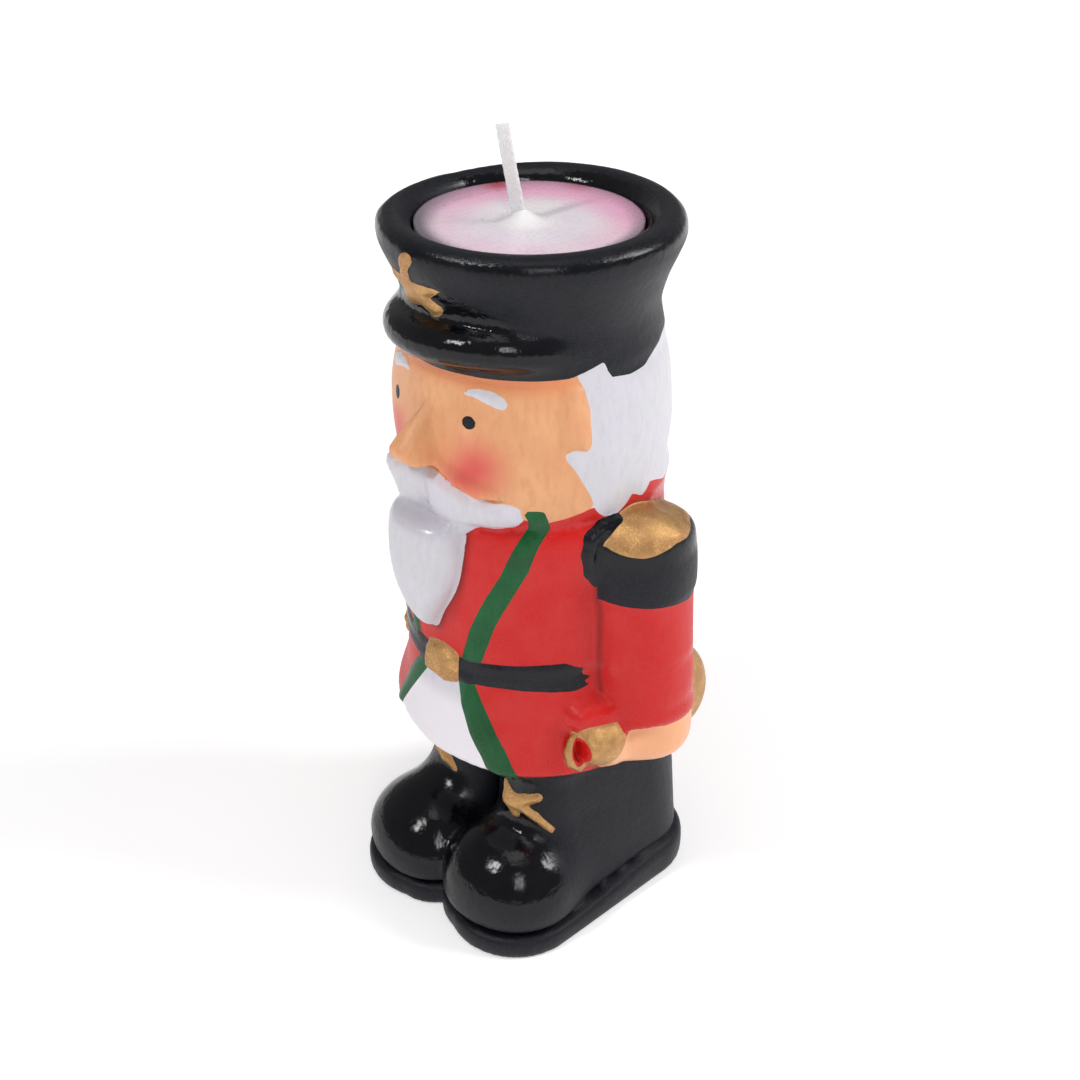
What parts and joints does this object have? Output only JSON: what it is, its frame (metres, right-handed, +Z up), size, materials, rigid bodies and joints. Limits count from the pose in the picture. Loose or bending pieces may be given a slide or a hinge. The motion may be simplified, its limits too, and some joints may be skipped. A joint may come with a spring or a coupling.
{
  "type": "nutcracker candle figure",
  "caption": "Standing toy-soldier nutcracker figure in painted terracotta, with a wide cup hat that holds a poured candle and a wick.",
  "frame": {"origin": "middle of the figure's footprint box, on the surface that the soles stand on", "axes": "+Z up, the figure faces -Y, and +X is the figure's own left"},
  "size_m": [0.0624, 0.0546, 0.1427],
  "materials": {
    "black_paint": "black hand-brushed paint on terracotta, satin with a soft grain, glossy where it lies thick on the peak and the toe caps",
    "red_paint": "bright red satin paint with faint brush streaks",
    "green_paint": "dark green satin paint, brushed on in one stroke",
    "white_paint": "white satin paint, a little thin in the hollows",
    "skin_paint": "warm skin-coloured satin paint with a sprayed pink blush on the cheeks",
    "gold_paint": "metallic gold-bronze paint with a fine sparkling grain",
    "candle_wax": "poured paraffin wax, milky and translucent, pink towards the rim of the cup",
    "wick_braid": "flat braided cotton wick stiffened with wax",
    "tinned_steel": "thin tinned steel"
  },
  "bodies": {
    "root": {"hat_cup": "black_paint", "hat_peak": "black_paint", "belt": "black_paint", "eye_left": "black_paint", "eye_right": "black_paint", "arm_band_left": "black_paint", "arm_band_right": "black_paint", "boot_left": "black_paint", "boot_right": "black_paint", "sole_left": "black_paint", "sole_right": "black_paint", "coat_torso": "red_paint", "coat_skirt": "red_paint", "sleeve_left": "red_paint", "sleeve_right": "red_paint", "shoulder_strap_left": "green_paint", "shoulder_strap_right": "green_paint", "skirt_trim_left": "green_paint", "skirt_trim_right": "green_paint", "hair": "white_paint", "moustache": "white_paint", "beard": "white_paint", "waistcoat_front": "white_paint", "eyebrow_left": "white_paint", "eyebrow_right": "white_paint", "face": "skin_paint", "nose": "skin_paint", "ear_left": "skin_paint", "ear_right": "skin_paint", "hand_left": "skin_paint", "hand_right": "skin_paint", "hat_star": "gold_paint", "buckle": "gold_paint", "hip_pouch": "gold_paint", "epaulette_left": "gold_paint", "epaulette_right": "gold_paint", "gold_fist_left": "gold_paint", "gold_fist_right": "gold_paint", "boot_tassel_left": "gold_paint", "boot_tassel_right": "gold_paint", "candle_wax": "candle_wax", "candle_wick": "wick_braid", "wick_sustainer": "tinned_steel"}
  },
  "joints": []
}
